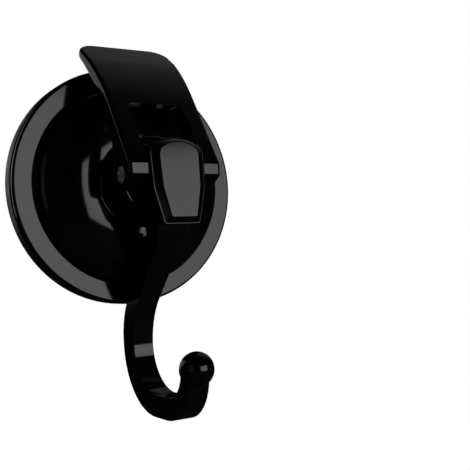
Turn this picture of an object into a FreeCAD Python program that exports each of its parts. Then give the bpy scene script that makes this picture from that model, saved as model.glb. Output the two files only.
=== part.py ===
"""Suction cup hook: a soft cup under a rigid housing, pulled tight by a cam lever, with a hook on its front.

Every piece is drawn lying on its back: x runs to the right, y runs up the wall and z is the height above
the wall. The placement of its body then stands it up, so that the part has +Z up and faces -Y, with its
origin in the middle of the suction face, on the wall. It is shown locked: the lever lies back along the wall.
"""
import FreeCAD, Part
import math
import os

import Sketcher

# Driving dimensions, in millimetres and degrees.
SIZES = {
    # suction cup
    "cup_radius": 30.0,
    "cup_edge_height": 4.2,
    "cup_edge_round": 0.6,
    "cup_seal_width": 4.0,
    "cup_hollow_depth": 2.4,
    "cup_skin": 2.0,
    "cup_hub_radius": 8.6,
    "cup_hub_height": 1.6,
    "cup_cone_drop": 0.8,
    "cup_shell_gap": 0.3,
    # housing
    "flange_inset": 0.2,
    "flange_thickness": 1.5,
    "flange_width": 4.8,
    "flange_round": 1.1,
    "shell_wall": 2.0,
    "dome_wall_height": 2.7,
    "dome_wall_lean": 0.9,
    "dome_slope_rise": 4.2,
    "dome_slope_curve": 25.0,
    "dome_edge_round": 1.4,
    "boss_radius": 10.4,
    "boss_wall_height": 9.78,
    "boss_foot_round": 0.7,
    "boss_edge_round": 0.5,
    "boss_plate": 2.6,
    "guide_gap": 0.2,
    # stud in the middle of the cup
    "stud_disc_radius": 7.0,
    "stud_disc_thickness": 1.6,
    "tongue_width": 6.4,
    "tongue_breadth": 7.6,
    # pin and cams
    "pin_radius": 2.0,
    "pin_proud": 0.1,
    "pin_edge": 0.4,
    "pin_gap": 0.03,
    "cam_gap": 0.12,
    "cam_radius": 4.7,
    "cam_lift": 1.73,
    "lever_swing": 120.0,
    # lever, measured from the pin; tab_up is measured from the housing's rim, and fork_width is how much
    # wider the gap between the arms is than the hook's head
    "lever_width": 23.3,
    "fork_width": 0.6,
    "fork_end": 17.5,
    "fork_corner": 1.0,
    "knuckle_front": 4.9,
    "knuckle_top": 2.6,
    "arm_back_top": 10.9,
    "web_back": 9.4,
    "bend_up": 20.5,
    "bend_back": 6.3,
    "tab_curve": 54.0,
    "tab_up": 5.9,
    "tab_back": 22.4,
    "tab_end_up": 1.8,
    "tab_end_back": 1.1,
    "tab_width": 24.4,
    "tab_corner": 4.6,
    # hook head
    "head_width": 13.7,
    "head_arch_foot": 4.45,
    "head_shoulder": 5.6,
    "head_shoulder_up": 6.6,
    "head_arch_top": 8.05,
    "head_waist": 3.7,
    "head_waist_width": 13.1,
    "head_toe": 11.75,
    "head_toe_width": 9.0,
    "head_toe_round": 0.9,
    "head_front": 5.65,
    "head_lean": 4.0,
    "head_lip": 0.3,
    "head_bevel": 1.9,
    "head_bevel_top": 1.1,
    "head_bevel_toe": 1.45,
    "head_bevel_height": 1.2,
    "tongue_gap": 0.45,
    "slot_gap": 0.12,
    # neck, shank and bend of the hook
    "neck_width": 8.6,
    "neck_waist": 6.2,
    "neck_waist_up": 17.0,
    "stem_width": 5.2,
    "neck_front_up": 13.0,
    "neck_front": 2.0,
    "neck_shoulder_round": 6.0,
    "neck_back_step": 1.9,
    "neck_back_drop": 2.2,
    "rim_gap": 1.2,
    "rim_overhang": 0.4,
    "knee_up": 1.3,
    "knee_height": 8.5,
    "shank_drop": 10.2,
    "shank_outer": 3.2,
    "shank_thickness": 6.25,
    "bend_outer": 16.3,
    "bend_inner": 11.1,
    "bend_flat": 6.25,
    "tip_outer": 11.3,
    "tip_inner": 7.0,
    "tip_thickness": 3.75,
    "stem_edge_round": 0.8,
    "ball_radius": 3.96,
    "ball_rise": 1.0,
    "ball_inset": 0.95,
}
SHEET = "Sizes"
CAM_STEPS = 4


class Size:
    """A length or an angle: its value now, and the expression that gives it from the sheet."""

    def __init__(self, value, text):
        self.value = value
        self.text = text

    def __add__(self, other):
        other = as_size(other)
        return Size(self.value + other.value, f"({self.text} + {other.text})")

    def __sub__(self, other):
        other = as_size(other)
        return Size(self.value - other.value, f"({self.text} - {other.text})")

    def __mul__(self, other):
        other = as_size(other)
        return Size(self.value * other.value, f"({self.text} * {other.text})")

    def __truediv__(self, other):
        other = as_size(other)
        return Size(self.value / other.value, f"({self.text} / {other.text})")

    def __neg__(self):
        return Size(-self.value, f"(-{self.text})")


def as_size(length):
    """A plain number as a Size."""
    if isinstance(length, Size):
        return length
    return Size(float(length), f"{float(length)!r}")


def sine(angle):
    return Size(math.sin(math.radians(angle.value)), f"sin({angle.text})")


def cosine(angle):
    return Size(math.cos(math.radians(angle.value)), f"cos({angle.text})")


def root(area):
    return Size(math.sqrt(area.value), f"sqrt({area.text})")


class Sheet:
    """The driving dimensions, each a Size by its own name."""

    def __init__(self, names):
        for name, value in names.items():
            setattr(self, name, Size(value, f"{SHEET}.{name}"))


s = Sheet(SIZES)
NOTHING = as_size(0)
HALF_TURN = 180.0

# Places that several pieces share.
flange_radius = s.cup_radius - s.flange_inset
flange_top = s.cup_edge_height + s.flange_thickness
dome_foot_radius = flange_radius - s.flange_width
dome_edge_radius = dome_foot_radius - s.dome_wall_lean
dome_edge_height = flange_top + s.dome_wall_height
boss_foot = dome_edge_height + s.dome_slope_rise
boss_top = boss_foot + s.boss_wall_height
pin_height = boss_top + s.cam_gap + s.cam_radius
pin_bore = s.pin_radius + s.pin_gap
disc_foot = s.cup_hollow_depth + s.cup_skin
disc_top = disc_foot + s.stud_disc_thickness


def make_sheet(doc):
    """Writes the driving dimensions into the document's spreadsheet."""
    sheet = doc.addObject("Spreadsheet::Sheet", SHEET)
    for row, (name, value) in enumerate(SIZES.items(), start=1):
        sheet.set(f"A{row}", name)
        sheet.set(f"B{row}", str(value))
        sheet.setAlias(f"B{row}", name)
    doc.recompute()


def make_body(doc, label):
    """An empty body that stands on the wall."""
    body = doc.addObject("PartDesign::Body", label)
    body.Label = label
    body.Placement = FreeCAD.Placement(
        FreeCAD.Vector(0, 0, 0), FreeCAD.Rotation(FreeCAD.Vector(1, 0, 0), 90)
    )
    return body


def make_sketch(body, name, role, height=NOTHING):
    """An empty sketch on one of the body's origin planes, lifted by height along the plane's normal."""
    sketch = body.newObject("Sketcher::SketchObject", name)
    planes = [f for f in body.Origin.OriginFeatures if f.Role == role]
    sketch.AttachmentSupport = (planes[0], [""])
    sketch.MapMode = "FlatFace"
    if height is not NOTHING:
        sketch.setExpression(".AttachmentOffset.Base.z", height.text)
    return sketch


def lean_sketch(sketch, angle):
    """Leans a sketch's plane back about the x axis, its upper end towards the wall."""
    place = sketch.AttachmentOffset.Base
    turn = FreeCAD.Rotation(FreeCAD.Vector(-1, 0, 0), angle.value)
    sketch.AttachmentOffset = FreeCAD.Placement(place, turn)
    sketch.setExpression(".AttachmentOffset.Rotation.Angle", angle.text)


def tie(sketch, constraint, name, size):
    """Adds a dimension to a sketch and binds it to its expression."""
    index = sketch.addConstraint(constraint)
    sketch.renameConstraint(index, name)
    sketch.setExpression(f"Constraints.{name}", size.text)


def tie_point(sketch, geometry, end, name, x, y):
    """Fixes a point of a sketch by its distances from the sketch's origin."""
    tie(sketch, Sketcher.Constraint("DistanceX", -1, 1, geometry, end, x.value), f"{name}_x", x)
    tie(sketch, Sketcher.Constraint("DistanceY", -1, 1, geometry, end, y.value), f"{name}_y", y)


def arc_between(start, end, radius, side):
    """The short arc from start to end whose centre lies on the given side of the way there."""
    chord = end.sub(start)
    reach = math.sqrt(max(radius**2 - (chord.Length / 2) ** 2, 0.0))
    left = FreeCAD.Vector(-chord.y, chord.x, 0).normalize()
    turn = 1 if side == "left" else -1
    centre = start.add(chord.multiply(0.5)).add(left.multiply(turn * reach))
    circle = Part.Circle(centre, FreeCAD.Vector(0, 0, 1), radius)
    first, last = (start, end) if side == "left" else (end, start)
    angles = [math.atan2(p.y - centre.y, p.x - centre.x) for p in (first, last)]
    return Part.ArcOfCircle(circle, angles[0], angles[1])


def draw_outline(sketch, name, corners):
    """Draws a closed outline. A corner is (x, y), or (x, y, radius, side) where an arc leaves it."""
    ends = []
    for corner, after in zip(corners, corners[1:] + corners[:1]):
        start = FreeCAD.Vector(corner[0].value, corner[1].value, 0)
        end = FreeCAD.Vector(after[0].value, after[1].value, 0)
        if len(corner) == 2:
            index = sketch.addGeometry(Part.LineSegment(start, end), False)
            ends.append((index, 1, 2))
            continue
        radius, side = corner[2], corner[3]
        index = sketch.addGeometry(arc_between(start, end, radius.value, side), False)
        ends.append((index, 1, 2) if side == "left" else (index, 2, 1))
    for (index, _, last), (after, first, _) in zip(ends, ends[1:] + ends[:1]):
        sketch.addConstraint(Sketcher.Constraint("Coincident", index, last, after, first))
    for number, (corner, (index, first, _)) in enumerate(zip(corners, ends)):
        label = f"{name}{number}"
        tie_point(sketch, index, first, label, corner[0], corner[1])
        if len(corner) == 4:
            tie(sketch, Sketcher.Constraint("Radius", index, corner[2].value), f"{label}_r", corner[2])


def draw_circle(sketch, name, x, y, radius):
    """Draws a circle with its centre at (x, y)."""
    centre = FreeCAD.Vector(x.value, y.value, 0)
    circle = Part.Circle(centre, FreeCAD.Vector(0, 0, 1), radius.value)
    index = sketch.addGeometry(circle, False)
    tie_point(sketch, index, 3, name, x, y)
    tie(sketch, Sketcher.Constraint("Radius", index, radius.value), f"{name}_r", radius)


def revolve(body, name, corners, cut=False):
    """Turns an outline of (radius, height) corners about z, as solid or as a cut."""
    sketch = make_sketch(body, f"{name}_outline", "XZ_Plane")
    draw_outline(sketch, name, corners)
    feature = body.newObject("PartDesign::Groove" if cut else "PartDesign::Revolution", name)
    feature.Profile = sketch
    feature.ReferenceAxis = (sketch, ["V_Axis"])
    feature.Angle = 360
    body.Document.recompute()
    return feature


def pad(body, name, sketch, length, midplane=False):
    """Extrudes a sketch by length, to both sides alike where midplane is set."""
    feature = body.newObject("PartDesign::Pad", name)
    feature.Profile = sketch
    feature.Midplane = midplane
    feature.setExpression("Length", length.text)
    body.Document.recompute()
    return feature


def cut_through(body, name, sketch, both_ways=False):
    """Cuts a sketch through the whole body."""
    feature = body.newObject("PartDesign::Pocket", name)
    feature.Profile = sketch
    feature.Type = "ThroughAll"
    feature.Midplane = both_ways
    body.Document.recompute()
    return feature


def cut_up(body, name, sketch, length):
    """Cuts a sketch upwards, along its plane's normal, by length."""
    feature = body.newObject("PartDesign::Pocket", name)
    feature.Profile = sketch
    feature.Reversed = True
    feature.setExpression("Length", length.text)
    body.Document.recompute()
    return feature


def edges_where(feature, rule, along=None):
    """The names of a feature's edges whose ends and middle obey the rule, and that run along an axis."""
    names = []
    for number, edge in enumerate(feature.Shape.Edges, start=1):
        first, last = edge.ParameterRange
        points = [edge.valueAt(first + (last - first) * share) for share in (0.0, 0.5, 1.0)]
        runs = along is None or abs(getattr(points[2].sub(points[0]), along)) > 0.1
        if runs and all(rule(p) for p in points):
            names.append(f"Edge{number}")
    return names


def round_edges(body, name, base, radius, rule, along=None):
    """Rounds the edges of base that obey the rule."""
    names = edges_where(base, rule, along)
    if not names:
        raise ValueError(f"{name} finds no edge to round")
    feature = body.newObject("PartDesign::Fillet", name)
    feature.Base = (base, names)
    feature.setExpression("Radius", radius.text)
    body.Document.recompute()
    if not feature.isValid():
        raise ValueError(f"{name} can't be rounded")
    return feature


def on_ring(radius, height, slack=0.01):
    """A rule for the edges on a circle about z."""
    return lambda p: (
        abs(math.hypot(p.x, p.y) - radius.value) < slack and abs(p.z - height.value) < slack
    )


def sagitta_radius(run, rise):
    """The radius of an arc that leaves along a line and ends run along it and rise away from it."""
    return (run * run + rise * rise) / (rise * 2)


def box_corners(half_x, half_y):
    """The corners of a rectangle round the origin."""
    return [(half_x, half_y), (-half_x, half_y), (-half_x, -half_y), (half_x, -half_y)]


def make_suction_cup(doc):
    """The soft disc: a flat sealing ring, a shallow hollow behind it and a hub round the stud."""
    body = make_body(doc, "suction_cup")
    seal_inner = s.cup_radius - s.cup_seal_width
    cone_foot = dome_foot_radius - s.shell_wall - s.cup_shell_gap
    hub_top = disc_top + s.cup_hub_height
    disc = revolve(body, "disc", [
        (NOTHING, s.cup_hollow_depth, sagitta_radius(seal_inner, s.cup_hollow_depth), "right"),
        (seal_inner, NOTHING),
        (s.cup_radius, NOTHING),
        (s.cup_radius, s.cup_edge_height),
        (cone_foot, s.cup_edge_height),
        (s.cup_hub_radius, hub_top - s.cup_cone_drop),
        (s.cup_hub_radius, hub_top),
        (NOTHING, hub_top),
    ])
    round_edges(body, "edge_round", disc, s.cup_edge_round, on_ring(s.cup_radius, NOTHING))
    revolve(body, "disc_seat", [
        (NOTHING, disc_foot),
        (s.stud_disc_radius, disc_foot),
        (s.stud_disc_radius, disc_top),
        (NOTHING, disc_top),
    ], cut=True)
    sketch = make_sketch(body, "tongue_seat_outline", "XY_Plane", disc_foot)
    draw_outline(sketch, "tongue", box_corners(s.tongue_width / 2, s.tongue_breadth / 2))
    cut_up(body, "tongue_seat", sketch, hub_top)
    return body


def make_cup_stud(doc):
    """The stud: a disc that the cup is moulded round, and a tongue with an eye for the pin."""
    body = make_body(doc, "cup_stud")
    revolve(body, "disc", [
        (NOTHING, disc_foot),
        (s.stud_disc_radius, disc_foot),
        (s.stud_disc_radius, disc_top),
        (NOTHING, disc_top),
    ])
    half = s.tongue_breadth / 2
    sketch = make_sketch(body, "tongue_outline", "YZ_Plane")
    draw_outline(sketch, "tongue", [
        (-half, disc_foot),
        (half, disc_foot),
        (half, pin_height, half, "left"),
        (NOTHING, pin_height + half, half, "left"),
        (-half, pin_height),
    ])
    pad(body, "tongue", sketch, s.tongue_width, midplane=True)
    sketch = make_sketch(body, "eye_outline", "YZ_Plane")
    draw_circle(sketch, "eye", NOTHING, pin_height, pin_bore)
    cut_through(body, "eye", sketch, both_ways=True)
    return body


def make_housing(doc):
    """The bell: a flange on the cup's edge, a low dome and a boss that the cams press on."""
    body = make_body(doc, "housing")
    inner_edge = dome_edge_radius - s.shell_wall
    inner_boss = s.boss_radius - s.shell_wall
    shell = revolve(body, "shell", [
        (flange_radius, s.cup_edge_height),
        (flange_radius, flange_top),
        (dome_foot_radius, flange_top),
        (dome_edge_radius, dome_edge_height, s.dome_slope_curve, "left"),
        (s.boss_radius, boss_foot),
        (s.boss_radius, boss_top),
        (NOTHING, boss_top),
        (NOTHING, boss_top - s.boss_plate),
        (inner_boss, boss_top - s.boss_plate),
        (inner_boss, boss_foot - s.shell_wall, s.dome_slope_curve - s.shell_wall, "right"),
        (inner_edge, dome_edge_height - s.shell_wall),
        (dome_foot_radius - s.shell_wall, s.cup_edge_height),
    ])
    rounds = [
        ("flange_round", s.flange_round, on_ring(flange_radius, flange_top)),
        ("dome_edge_round", s.dome_edge_round, on_ring(dome_edge_radius, dome_edge_height)),
        ("boss_foot_round", s.boss_foot_round, on_ring(s.boss_radius, boss_foot)),
        ("boss_edge_round", s.boss_edge_round, on_ring(s.boss_radius, boss_top)),
    ]
    feature = shell
    for name, radius, rule in rounds:
        feature = round_edges(body, name, feature, radius, rule)
    sketch = make_sketch(body, "guide_outline", "XY_Plane", boss_top)
    half_x = s.tongue_width / 2 + s.guide_gap
    half_y = s.tongue_breadth / 2 + s.guide_gap
    draw_outline(sketch, "guide", box_corners(half_x, half_y))
    cut_through(body, "guide", sketch)
    return body


def make_pivot_pin(doc):
    """The cross pin that the lever turns on, with a small bevel at each end."""
    body = make_body(doc, "pivot_pin")
    half = s.lever_width / 2 + s.pin_proud
    sketch = make_sketch(body, "pin_outline", "YZ_Plane")
    draw_circle(sketch, "pin", NOTHING, pin_height, s.pin_radius)
    rod = pad(body, "rod", sketch, half * 2, midplane=True)
    feature = body.newObject("PartDesign::Chamfer", "ends")
    feature.Base = (rod, edges_where(rod, lambda p: abs(abs(p.x) - half.value) < 0.01))
    feature.setExpression("Size", s.pin_edge.text)
    doc.recompute()
    return body


def cam_corner(step):
    """A corner of the cam, whose distance from the pin falls evenly as the lever turns."""
    swing = s.lever_swing * (step / CAM_STEPS)
    slope = s.cam_lift / (s.lever_swing * (math.pi / HALF_TURN))
    reach = s.cam_radius - s.cam_lift * (step / CAM_STEPS)
    up = cosine(swing) * slope - sine(swing) * reach
    out = -(sine(swing) * slope) - cosine(swing) * reach
    return up, out


def lever_side():
    """The lever's side view: cam, flat end, front of the arms, tab and back."""
    tip_up = flange_radius + s.tab_up
    corners = []
    for step in range(CAM_STEPS):
        up, out = cam_corner(step)
        radius = s.cam_radius - s.cam_lift * ((step + 0.5) / CAM_STEPS)
        corners.append((up, pin_height + out, radius, "right"))
    up, out = cam_corner(CAM_STEPS)
    flat_slope = -cosine(s.lever_swing) / sine(s.lever_swing)
    corners += [
        (up, pin_height + out),
        (up + (s.knuckle_front - out) * flat_slope, pin_height + s.knuckle_front),
        (s.knuckle_top, pin_height + s.knuckle_front),
        (s.bend_up, pin_height - s.bend_back, s.tab_curve, "right"),
        (tip_up, pin_height - s.tab_back),
        (tip_up - s.tab_end_up, pin_height - s.tab_back - s.tab_end_back, s.tab_curve, "left"),
        (s.fork_end, pin_height - s.web_back),
        (s.arm_back_top, pin_height - s.cam_radius),
    ]
    return corners


def make_lever(doc):
    """The lever: two cam arms, a web between them and a thumb tab that curls back to the wall."""
    body = make_body(doc, "lever")
    sketch = make_sketch(body, "side_outline", "YZ_Plane")
    draw_outline(sketch, "side", lever_side())
    pad(body, "blank", sketch, s.tab_width, midplane=True)

    sketch = make_sketch(body, "waste_outline", "XY_Plane")
    arm = s.lever_width / 2
    tab = s.tab_width / 2
    tip_up = flange_radius + s.tab_up
    outside = s.tab_width
    below = -tip_up
    above = tip_up * 2
    for name, sign, side in (("right", 1, "left"), ("left", -1, "right")):
        draw_outline(sketch, name, [
            (arm * sign, below),
            (arm * sign, s.bend_up),
            (tab * sign, tip_up - s.tab_corner, s.tab_corner, side),
            ((tab - s.tab_corner) * sign, tip_up),
            ((tab - s.tab_corner) * sign, above),
            (outside * sign, above),
            (outside * sign, below),
        ])
    cut_through(body, "waste", sketch, both_ways=True)

    sketch = make_sketch(body, "fork_outline", "XY_Plane")
    half = (s.head_width + s.fork_width) / 2
    draw_outline(sketch, "fork", [
        (half, below),
        (half, s.fork_end - s.fork_corner, s.fork_corner, "left"),
        (half - s.fork_corner, s.fork_end),
        (-half + s.fork_corner, s.fork_end, s.fork_corner, "left"),
        (-half, s.fork_end - s.fork_corner),
        (-half, below),
    ])
    cut_through(body, "fork", sketch, both_ways=True)

    sketch = make_sketch(body, "bore_outline", "YZ_Plane")
    draw_circle(sketch, "bore", NOTHING, pin_height, pin_bore)
    cut_through(body, "bore", sketch, both_ways=True)
    return body


def head_outline(side, top, toe):
    """The hook head's front view, moved in by side, top and toe: an arch on sides that close in to the toe."""
    half = s.head_width / 2 - side
    foot = s.head_arch_foot - (side - toe)
    shoulder = s.head_shoulder - toe
    shoulder_up = s.head_shoulder_up - top
    shoulder_curve = sagitta_radius(shoulder_up - foot, half - shoulder)
    arch_curve = sagitta_radius(shoulder, s.head_arch_top - top - shoulder_up)
    waist = s.head_waist_width / 2 - side
    waist_up = -s.head_waist - (side - toe)
    end = s.head_toe_width / 2 - toe
    end_up = toe - s.head_toe
    run = waist - end
    rise = waist_up - end_up
    length = root(run * run + rise * rise)
    reach = s.head_toe_round * rise / (length + run)
    side_x = end + reach * run / length
    side_up = end_up + reach * rise / length
    return [
        (half, foot, shoulder_curve, "left"),
        (shoulder, shoulder_up, arch_curve, "left"),
        (-shoulder, shoulder_up, shoulder_curve, "left"),
        (-half, foot),
        (-waist, waist_up),
        (-side_x, side_up, s.head_toe_round, "left"),
        (reach - end, end_up),
        (end - reach, end_up, s.head_toe_round, "left"),
        (side_x, side_up),
        (waist, waist_up),
    ]


def sweep_onto(first, second, level, end):
    """Where an arc leaves the line through two points so as to run along a level at its end, and its radius."""
    run = first[0] - second[0]
    rise = first[1] - second[1]
    length = root(run * run + rise * rise)
    reach = second[0] - (second[1] - level) * run / rise - end
    return end + reach + reach * run / length, level + reach * rise / length, reach * (length + run) / rise


def hook_side():
    """The side view of neck, shank and bend, from the head's underside round to the tip and back."""
    root_up = -s.head_toe + s.neck_front
    rim = -flange_radius
    knee_up = rim + s.knee_up
    knee_height = flange_top + s.knee_height
    shank_up = rim - s.shank_drop
    shank_inner = s.shank_outer + s.shank_thickness
    inner_low = shank_up - s.bend_inner
    outer_low = shank_up - s.bend_outer
    tip_height = s.shank_outer + s.bend_outer + s.bend_flat + s.tip_outer
    tip_inner_height = tip_height - s.tip_thickness
    back_up = rim + s.rim_overhang
    back_height = flange_top + s.rim_gap
    neck_back = -s.head_toe - s.neck_back_step
    corner = (-s.neck_front_up, pin_height + s.neck_front)
    run = corner[0] - knee_up
    rise = corner[1] - knee_height
    length = root(run * run + rise * rise)
    reach = s.neck_shoulder_round * rise / (length + run)
    knee = sweep_onto(corner, (knee_up, knee_height), shank_inner, shank_up)
    heel = sweep_onto((neck_back, boss_top - s.neck_back_drop), (back_up, back_height), s.shank_outer, shank_up)
    return [
        (root_up, corner[1]),
        (corner[0] + reach, corner[1], s.neck_shoulder_round, "left"),
        (corner[0] - reach * run / length, corner[1] - reach * rise / length),
        (knee[0], knee[1], knee[2], "right"),
        (shank_up, shank_inner, s.bend_inner, "right"),
        (inner_low, shank_inner + s.bend_inner),
        (inner_low, tip_inner_height - s.tip_inner, s.tip_inner, "right"),
        (inner_low + s.tip_inner, tip_inner_height),
        (outer_low + s.tip_outer, tip_height, s.tip_outer, "left"),
        (outer_low, tip_height - s.tip_outer),
        (outer_low, s.shank_outer + s.bend_outer, s.bend_outer, "left"),
        (shank_up, s.shank_outer, heel[2], "left"),
        (heel[0], heel[1]),
        (neck_back, boss_top - s.neck_back_drop),
        (neck_back, boss_top),
        (root_up, boss_top),
    ]


def make_hook(doc):
    """The hook: a bevelled head over the stud, a neck, a shank and a bend that ends in a ball."""
    body = make_body(doc, "hook")
    rim_up = -flange_radius
    outer_low = rim_up - s.shank_drop - s.bend_outer
    tip_height = s.shank_outer + s.bend_outer + s.bend_flat + s.tip_outer

    sketch = make_sketch(body, "stem_outline", "YZ_Plane")
    draw_outline(sketch, "stem", hook_side())
    pad(body, "stem", sketch, s.neck_width, midplane=True)

    sketch = make_sketch(body, "taper_outline", "XY_Plane")
    neck = s.neck_width / 2
    waist = s.neck_waist / 2
    shank = s.stem_width / 2
    waist_run = s.neck_waist_up - s.neck_front_up
    hollow = sagitta_radius(waist_run, neck - waist)
    for name, sign, side in (("right", 1, "left"), ("left", -1, "right")):
        draw_outline(sketch, name, [
            (neck * sign, -s.neck_front_up, hollow, side),
            (waist * sign, -s.neck_waist_up),
            (shank * sign, rim_up - s.shank_drop),
            (shank * sign, outer_low * 2),
            (s.neck_width * sign, outer_low * 2),
            (s.neck_width * sign, -s.neck_front_up),
        ])
    tapered = cut_through(body, "taper", sketch, both_ways=True)
    neck_end = -s.neck_front_up.value + 0.01
    outside = shank.value - 0.01
    round_edges(
        body, "stem_round", tapered, s.stem_edge_round,
        lambda p: p.y < neck_end and abs(p.x) > outside, along="y",
    )

    sketch = make_sketch(body, "head_outline", "XY_Plane", boss_top)
    draw_outline(sketch, "head", head_outline(NOTHING, NOTHING, NOTHING))
    pad(body, "head", sketch, s.cam_gap + s.cam_radius + s.head_front * 2)

    lean = sine(s.head_lean) / cosine(s.head_lean)
    front = pin_height + s.head_front
    over = pin_height + s.head_front * 3
    reach = s.head_toe * 2
    sketch = make_sketch(body, "front_outline", "YZ_Plane")
    draw_outline(sketch, "front", [
        (-reach, front + reach * lean),
        (reach, front - reach * lean),
        (reach, over),
        (-reach, over),
    ])
    cut_through(body, "front", sketch, both_ways=True)

    rim = make_sketch(body, "lip_outline", "XY_Plane", front)
    lean_sketch(rim, s.head_lean)
    draw_outline(rim, "lip", head_outline(s.head_lip, s.head_lip, s.head_lip))
    face = make_sketch(body, "face_outline", "XY_Plane", front + s.head_bevel_height)
    lean_sketch(face, s.head_lean)
    draw_outline(face, "face", head_outline(s.head_bevel, s.head_bevel_top, s.head_bevel_toe))
    feature = body.newObject("PartDesign::AdditiveLoft", "bevelled_face")
    feature.Profile = rim
    feature.Sections = [face]
    feature.Ruled = True
    doc.recompute()

    ball = body.newObject("PartDesign::AdditiveSphere", "ball")
    ball.setExpression("Radius", s.ball_radius.text)
    ball.setExpression(".Placement.Base.y", (outer_low + s.tip_outer + s.ball_rise).text)
    ball.setExpression(".Placement.Base.z", (tip_height - s.ball_inset).text)
    doc.recompute()

    sketch = make_sketch(body, "well_outline", "XY_Plane", boss_top)
    half_x = s.tongue_width / 2 + s.tongue_gap
    half_y = s.tongue_breadth / 2 + s.tongue_gap
    draw_outline(sketch, "well", box_corners(half_x, half_y))
    cut_up(body, "well", sketch, s.cam_gap + s.cam_radius + half_y)

    sketch = make_sketch(body, "slot_outline", "YZ_Plane")
    half = s.pin_radius + s.slot_gap
    draw_outline(sketch, "slot", [
        (half, pin_height - s.cam_lift),
        (half, pin_height, half, "left"),
        (NOTHING, pin_height + half, half, "left"),
        (-half, pin_height),
        (-half, pin_height - s.cam_lift, half, "left"),
        (NOTHING, pin_height - s.cam_lift - half, half, "left"),
    ])
    cut_through(body, "slot", sketch, both_ways=True)
    return body


def check(doc, bodies):
    """Stops if any object failed or any piece is not one valid solid."""
    for item in doc.Objects:
        if "Invalid" in item.State or "Error" in item.State:
            raise ValueError(f"{item.Name} failed: {item.State}")
    for body in bodies:
        shape = body.Shape
        if shape.isNull() or not shape.isValid() or len(shape.Solids) != 1:
            raise ValueError(f"{body.Label} is not one valid solid")


def main():
    doc = FreeCAD.newDocument("suction_cup_hook")
    make_sheet(doc)
    makers = [make_suction_cup, make_cup_stud, make_housing, make_pivot_pin, make_lever, make_hook]
    bodies = [maker(doc) for maker in makers]
    doc.recompute()
    check(doc, bodies)
    os.makedirs("parts", exist_ok=True)
    for body in bodies:
        body.Shape.exportStep(f"parts/{body.Label}.step")
        box = body.Shape.BoundBox
        spans = (box.XLength, box.YLength, box.ZLength)
        print(f"{body.Label}: {body.Shape.Volume:.0f} mm3, box {[round(span, 1) for span in spans]}")


main()
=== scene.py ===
import math
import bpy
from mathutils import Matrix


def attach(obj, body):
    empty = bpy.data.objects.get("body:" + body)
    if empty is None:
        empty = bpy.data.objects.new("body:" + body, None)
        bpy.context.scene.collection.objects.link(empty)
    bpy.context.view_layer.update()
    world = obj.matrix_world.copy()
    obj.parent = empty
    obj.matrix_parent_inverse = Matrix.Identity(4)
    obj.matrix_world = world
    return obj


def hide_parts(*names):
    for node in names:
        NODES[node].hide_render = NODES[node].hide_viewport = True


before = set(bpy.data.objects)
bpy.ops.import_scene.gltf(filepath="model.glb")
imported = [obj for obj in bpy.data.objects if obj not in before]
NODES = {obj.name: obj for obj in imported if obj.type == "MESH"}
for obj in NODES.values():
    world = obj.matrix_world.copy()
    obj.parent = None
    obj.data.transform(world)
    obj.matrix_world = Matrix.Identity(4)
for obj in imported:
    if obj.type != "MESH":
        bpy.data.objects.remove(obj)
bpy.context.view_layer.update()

from types import SimpleNamespace

import bmesh
import bpy
from bpy.props import FloatProperty, FloatVectorProperty, PointerProperty
from mathutils import Matrix, Vector

bl_info = {
    "name": "Suction Cup Hook",
    "version": (1, 0, 0),
    "blender": (4, 5, 0),
    "location": "View3D > Sidebar > Hook",
    "description": "Dresses the suction cup hook with finished pieces, materials, lamps and a camera",
    "category": "Object",
}

# Lengths are in millimetres and angles in degrees, unless a comment says otherwise.
MM = 0.001
# Two places that lie nearer to each other than this are one place.
TINY = 0.02
MERGE_DISTANCE = 0.002
MIRROR_MERGE_DISTANCE = 0.005
TURN_STEPS = 128
# The turn between two points of an arc, in radians.
ARC_STEP = math.radians(7.0)
# How far a cutting block reaches past what it cuts.
CUT_PAST = 1.0

# Soft cup: a sealing ring round a shallow hollow, and a hub with a seat for the stud's disc.
SEAL_WIDTH = 4.0
SEAL_ROUND = 0.35
CUP_HOLLOW = 2.4
HOLLOW_STEPS = 14
CUP_RIM_ROUND = 0.7
CUP_CLEARANCE = 0.3
HUB_RADIUS = 8.6
HUB_TOP = 7.6
HUB_STEP = 0.8
HUB_BORE = 5.1
SEAT_RADIUS = 7.1
SEAT_TOP = 6.05
SEAT_FLOOR = 2.62

# Housing.
BOSS_TOP = 22.38
BOSS_PLATE = 2.6
BOSS_FOOT_ROUND = 0.7
BOSS_EDGE_ROUND = 2.4
DOME_STEPS = 16
DOME_FOOT_ROUND = 0.25
DOME_EDGE_ROUND = 1.3
FLANGE_FOOT_ROUND = 0.2
FLANGE_EDGE_ROUND = 0.7
GUIDE_HALF_WIDTH = 3.4
GUIDE_HALF_HEIGHT = 4.0

# Pin.
PIN_STANDS_OUT = 0.1
PIN_END_ROUND = 0.3

# Lever. Ups are measured from the pin, and outs from the pin away from the wall.
LEVER_SWING = 120.0
CAM_STEPS = 4
CAM_STEP_POINTS = 5
CAM_BACK_UP = 10.9
KNUCKLE_UP, KNUCKLE_OUT = 2.6, 4.9
KNUCKLE_REACH = 3.0
KNUCKLE_ROUND = 0.6
TAB_FOOT_UP, TAB_FOOT_OUT = 20.5, -6.3
FORK_BACK_OUT = -9.4
FORK_CORNER = 1.0
TIP_OUT, TIP_BACK_OUT = -22.4, -23.5
TIP_BACK_DROP = 1.8
TIP_REACH = 3.0
TAB_CURVE = 54.0
TAB_CURVE_POINTS = 60
TAB_STRIPS = (0.0, 0.2, 0.4, 0.6, 0.8, 1.0)
TAB_CORNER_CLEARANCE = 0.4
TAB_SIDE_SLACK = 0.5
MIDDLE_STRIP_SHIFT = 2.0
BORE_CLEARANCE = 0.07
BORE_LENGTH = 30.0
BORE_STEPS = 64

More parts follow.
